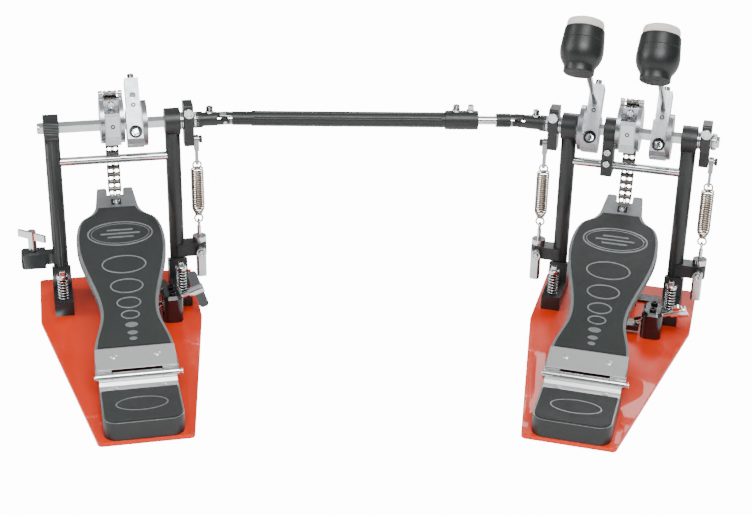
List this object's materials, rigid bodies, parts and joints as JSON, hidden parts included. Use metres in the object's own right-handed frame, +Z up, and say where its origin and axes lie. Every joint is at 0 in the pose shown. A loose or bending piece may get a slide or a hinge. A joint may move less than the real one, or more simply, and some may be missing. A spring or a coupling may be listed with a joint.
{
  "type": "bass drum pedal",
  "caption": "Double bass drum pedal: chain-driven main pedal with a pair of beaters, linked by a telescopic driveshaft to a second footboard.",
  "frame": {"origin": "on the floor, straight below the middle of the main pedal's axle, on the underside of its base plate", "axes": "+X to the player's right along the main axle, +Y towards the drum, +Z up"},
  "size_m": [0.7202, 0.4872, 0.3586],
  "materials": {
    "red_lacquer": "gloss lacquer",
    "black_powder": "satin powder coat",
    "chrome": "polished",
    "cast_aluminium": "satin",
    "bright_steel": "bright",
    "chain_steel": "oiled",
    "spring_steel": "nickel",
    "board_coat": "satin coat",
    "tread_rubber": "matte",
    "heel_moulding": "matte",
    "head_moulding": "satin with a felt face"
  },
  "bodies": {
    "main_frame": {"main_base_plate": "red_lacquer", "main_left_post": "black_powder", "main_right_post": "black_powder", "main_crossbar": "chrome", "main_bearings": "bright_steel", "main_spring_anchors": "chrome", "main_heel_plate": "heel_moulding", "main_heel_tread": "tread_rubber", "main_hinge_pin": "chrome", "main_clamp_housing": "black_powder", "main_centre_hanger": "black_powder"},
    "slave_frame": {"slave_base_plate": "red_lacquer", "slave_left_post": "black_powder", "slave_right_post": "black_powder", "slave_crossbar": "chrome", "slave_bearings": "bright_steel", "slave_spring_anchors": "chrome", "slave_heel_plate": "heel_moulding", "slave_heel_tread": "tread_rubber", "slave_hinge_pin": "chrome", "slave_clamp_housing": "black_powder"},
    "main_drive": {"main_axle": "bright_steel", "main_cam": "cast_aluminium", "right_beater_hub": "cast_aluminium", "right_spring_rocker": "black_powder"},
    "main_treadle": {"main_footboard": "board_coat", "main_footboard_tread": "tread_rubber"},
    "main_chain_run": {"main_chain": "chain_steel"},
    "main_spurs": {"main_spurs": "chrome"},
    "main_wing_bolt": {"main_wing_bolt": "chrome"},
    "main_clamp_lever": {"main_clamp_lever": "black_powder"},
    "slave_drive": {"slave_axle": "bright_steel", "slave_cam": "cast_aluminium", "slave_blank_hub": "cast_aluminium", "slave_spring_rocker": "black_powder"},
    "slave_treadle": {"slave_footboard": "board_coat", "slave_footboard_tread": "tread_rubber"},
    "slave_chain_run": {"slave_chain": "chain_steel"},
    "slave_spurs": {"slave_spurs": "chrome"},
    "slave_wing_bolt": {"slave_wing_bolt": "chrome"},
    "slave_clamp_lever": {"slave_clamp_lever": "black_powder"},
    "left_drive": {"left_axle": "bright_steel", "left_beater_hub": "cast_aluminium", "left_spring_rocker": "black_powder"},
    "driveshaft_tube": {"driveshaft_tube": "black_powder"},
    "driveshaft_rod": {"driveshaft_rod": "chrome"},
    "right_spring_hook": {"right_spring_hook": "chrome"},
    "right_spring": {"right_spring": "spring_steel"},
    "right_tension_lever": {"right_tension_lever": "chrome"},
    "left_spring_hook": {"left_spring_hook": "chrome"},
    "left_spring": {"left_spring": "spring_steel"},
    "left_tension_lever": {"left_tension_lever": "chrome"},
    "slave_spring_hook": {"slave_spring_hook": "chrome"},
    "slave_spring": {"slave_spring": "spring_steel"},
    "slave_tension_lever": {"slave_tension_lever": "chrome"},
    "right_beater_rod": {"right_beater_rod": "chrome"},
    "right_beater_head": {"right_beater_head": "head_moulding"},
    "left_beater_rod": {"left_beater_rod": "chrome"},
    "left_beater_head": {"left_beater_head": "head_moulding"},
    "stand_wing_bolt": {"stand_wing_bolt": "chrome"}
  },
  "joints": [
    {"name": "driveshaft_telescope", "type": "slide", "parent": "main_frame", "child": "slave_frame", "axis": [-0.9568, -0.2907, 0], "range_m": [-0.018, 0.05]},
    {"name": "main_drive", "type": "hinge", "parent": "main_frame", "child": "main_drive", "pos_m": [0, 0, 0.198], "axis": [1, 0, 0], "range_deg": [-54, 0], "stiffness_Nm_per_rad": 1, "springref_deg": 8.59},
    {"name": "main_treadle", "type": "hinge", "parent": "main_frame", "child": "main_treadle", "pos_m": [0, -0.237, 0.028], "axis": [1, 0, 0], "range_deg": [-7.12, 0]},
    {"name": "main_chain_run", "type": "hinge", "parent": "main_drive", "child": "main_chain_run", "pos_m": [0, 0.03232, 0.20981], "axis": [1, 0, 0], "range_deg": [0, 60.88], "deforming": ["main_chain"]},
    {"name": "main_spurs", "type": "slide", "parent": "main_frame", "child": "main_spurs", "axis": [0, 0, -1], "range_m": [0, 0.006]},
    {"name": "main_wing_bolt", "type": "hinge", "parent": "main_frame", "child": "main_wing_bolt", "pos_m": [0.071, -0.078, 0.034], "axis": [0.9397, 0, 0.342], "range_deg": [0, 990]},
    {"name": "main_clamp_lever", "type": "hinge", "parent": "main_frame", "child": "main_clamp_lever", "pos_m": [0, -0.01, 0.012], "axis": [1, 0, 0], "range_deg": [0, 4.02]},
    {"name": "slave_drive", "type": "hinge", "parent": "slave_frame", "child": "slave_drive", "pos_m": [-0.52499, -0.14729, 0.198], "axis": [0.8829, 0.4695, 0], "range_deg": [-54, 0], "stiffness_Nm_per_rad": 1, "springref_deg": 8.59},
    {"name": "slave_treadle", "type": "hinge", "parent": "slave_frame", "child": "slave_treadle", "pos_m": [-0.41372, -0.35655, 0.028], "axis": [0.8829, 0.4695, 0], "range_deg": [-7.12, 0]},
    {"name": "slave_chain_run", "type": "hinge", "parent": "slave_drive", "child": "slave_chain_run", "pos_m": [-0.54016, -0.11875, 0.20981], "axis": [0.8829, 0.4695, 0], "range_deg": [0, 60.88], "deforming": ["slave_chain"]},
    {"name": "slave_spurs", "type": "slide", "parent": "slave_frame", "child": "slave_spurs", "axis": [0, 0, -1], "range_m": [0, 0.006]},
    {"name": "slave_wing_bolt", "type": "hinge", "parent": "slave_frame", "child": "slave_wing_bolt", "pos_m": [-0.42568, -0.18283, 0.034], "axis": [0.8297, 0.4412, 0.342], "range_deg": [0, 990]},
    {"name": "slave_clamp_lever", "type": "hinge", "parent": "slave_frame", "child": "slave_clamp_lever", "pos_m": [-0.52029, -0.15612, 0.012], "axis": [0.8829, 0.4695, 0], "range_deg": [0, 4.02]},
    {"name": "left_drive", "type": "hinge", "parent": "main_frame", "child": "left_drive", "pos_m": [-0.08, 0, 0.198], "axis": [1, 0, 0], "range_deg": [-54.2, 0]},
    {"name": "driveshaft_tube", "type": "hinge", "parent": "slave_frame", "child": "driveshaft_tube", "pos_m": [-0.41992, -0.09143, 0.198], "axis": [0.9568, 0.2907, 0], "range_deg": [-54.2, 0]},
    {"name": "driveshaft_rod", "type": "hinge", "parent": "main_frame", "child": "driveshaft_rod", "pos_m": [-0.119, 0, 0.198], "axis": [0.9568, 0.2907, 0], "range_deg": [-54.2, 0]},
    {"name": "right_spring_hook", "type": "hinge", "parent": "main_drive", "child": "right_spring_hook", "pos_m": [0.088, 0, 0.176], "axis": [1, 0, 0], "range_deg": [0, 63.61]},
    {"name": "right_spring_stretch", "type": "slide", "parent": "right_spring_hook", "child": "right_spring", "axis": [0, 0, -1], "range_m": [0, 0.01059], "deforming": ["right_spring"]},
    {"name": "right_tension_lever", "type": "hinge", "parent": "main_frame", "child": "right_tension_lever", "pos_m": [0.088, -0.009, 0.05], "axis": [0, -1, 0], "range_deg": [-20, 180]},
    {"name": "left_spring_hook", "type": "hinge", "parent": "left_drive", "child": "left_spring_hook", "pos_m": [-0.088, 0, 0.176], "axis": [1, 0, 0], "range_deg": [0, 63.61]},
    {"name": "left_spring_stretch", "type": "slide", "parent": "left_spring_hook", "child": "left_spring", "axis": [0, 0, -1], "range_m": [0, 0.01059], "deforming": ["left_spring"]},
    {"name": "left_tension_lever", "type": "hinge", "parent": "main_frame", "child": "left_tension_lever", "pos_m": [-0.088, -0.009, 0.05], "axis": [0, 1, 0], "range_deg": [-20, 180]},
    {"name": "slave_spring_hook", "type": "hinge", "parent": "slave_drive", "child": "slave_spring_hook", "pos_m": [-0.44729, -0.10598, 0.176], "axis": [0.8829, 0.4695, 0], "range_deg": [0, 63.61]},
    {"name": "slave_spring_stretch", "type": "slide", "parent": "slave_spring_hook", "child": "slave_spring", "axis": [0, 0, -1], "range_m": [0, 0.01059], "deforming": ["slave_spring"]},
    {"name": "slave_tension_lever", "type": "hinge", "parent": "slave_frame", "child": "slave_tension_lever", "pos_m": [-0.44306, -0.11393, 0.05], "axis": [0.4695, -0.8829, 0], "range_deg": [-20, 180]},
    {"name": "right_beater_height", "type": "slide", "parent": "main_drive", "child": "right_beater_rod", "axis": [0, -0.8192, 0.5736], "range_m": [-0.02, 0.008]},
    {"name": "right_beater_face", "type": "hinge", "parent": "right_beater_rod", "child": "right_beater_head", "pos_m": [0.0325, -0.13303, 0.32533], "axis": [0, -0.8192, 0.5736], "range_deg": [0, 180]},
    {"name": "left_beater_height", "type": "slide", "parent": "left_drive", "child": "left_beater_rod", "axis": [0, -0.8192, 0.5736], "range_m": [-0.02, 0.008]},
    {"name": "left_beater_face", "type": "hinge", "parent": "left_beater_rod", "child": "left_beater_head", "pos_m": [-0.0395, -0.13303, 0.32533], "axis": [0, -0.8192, 0.5736], "range_deg": [0, 180]},
    {"name": "stand_wing_bolt", "type": "hinge", "parent": "slave_frame", "child": "stand_wing_bolt", "pos_m": [-0.60672, -0.18848, 0.066], "axis": [0, 0, 1], "range_deg": [0, 810]}
  ],
  "couplings": [
    {"joint": "main_treadle", "follows": "main_drive", "ratio": 0.13165},
    {"joint": "main_chain_run", "follows": "main_drive", "ratio": -1.1251},
    {"joint": "main_clamp_lever", "follows": "main_wing_bolt", "ratio": 0.0040404},
    {"joint": "slave_treadle", "follows": "slave_drive", "ratio": 0.13165},
    {"joint": "slave_chain_run", "follows": "slave_drive", "ratio": -1.1251},
    {"joint": "slave_clamp_lever", "follows": "slave_wing_bolt", "ratio": 0.0040404},
    {"joint": "left_drive", "follows": "slave_drive", "ratio": 1},
    {"joint": "driveshaft_tube", "follows": "slave_drive", "ratio": 1},
    {"joint": "driveshaft_rod", "follows": "slave_drive", "ratio": 1},
    {"joint": "right_spring_hook", "follows": "main_drive", "ratio": -1.1756},
    {"joint": "right_spring_stretch", "follows": "main_drive", "m_per_rad": -0.011188},
    {"joint": "left_spring_hook", "follows": "slave_drive", "ratio": -1.1756},
    {"joint": "left_spring_stretch", "follows": "slave_drive", "m_per_rad": -0.011188},
    {"joint": "slave_spring_hook", "follows": "slave_drive", "ratio": -1.1756},
    {"joint": "slave_spring_stretch", "follows": "slave_drive", "m_per_rad": -0.011188}
  ]
}
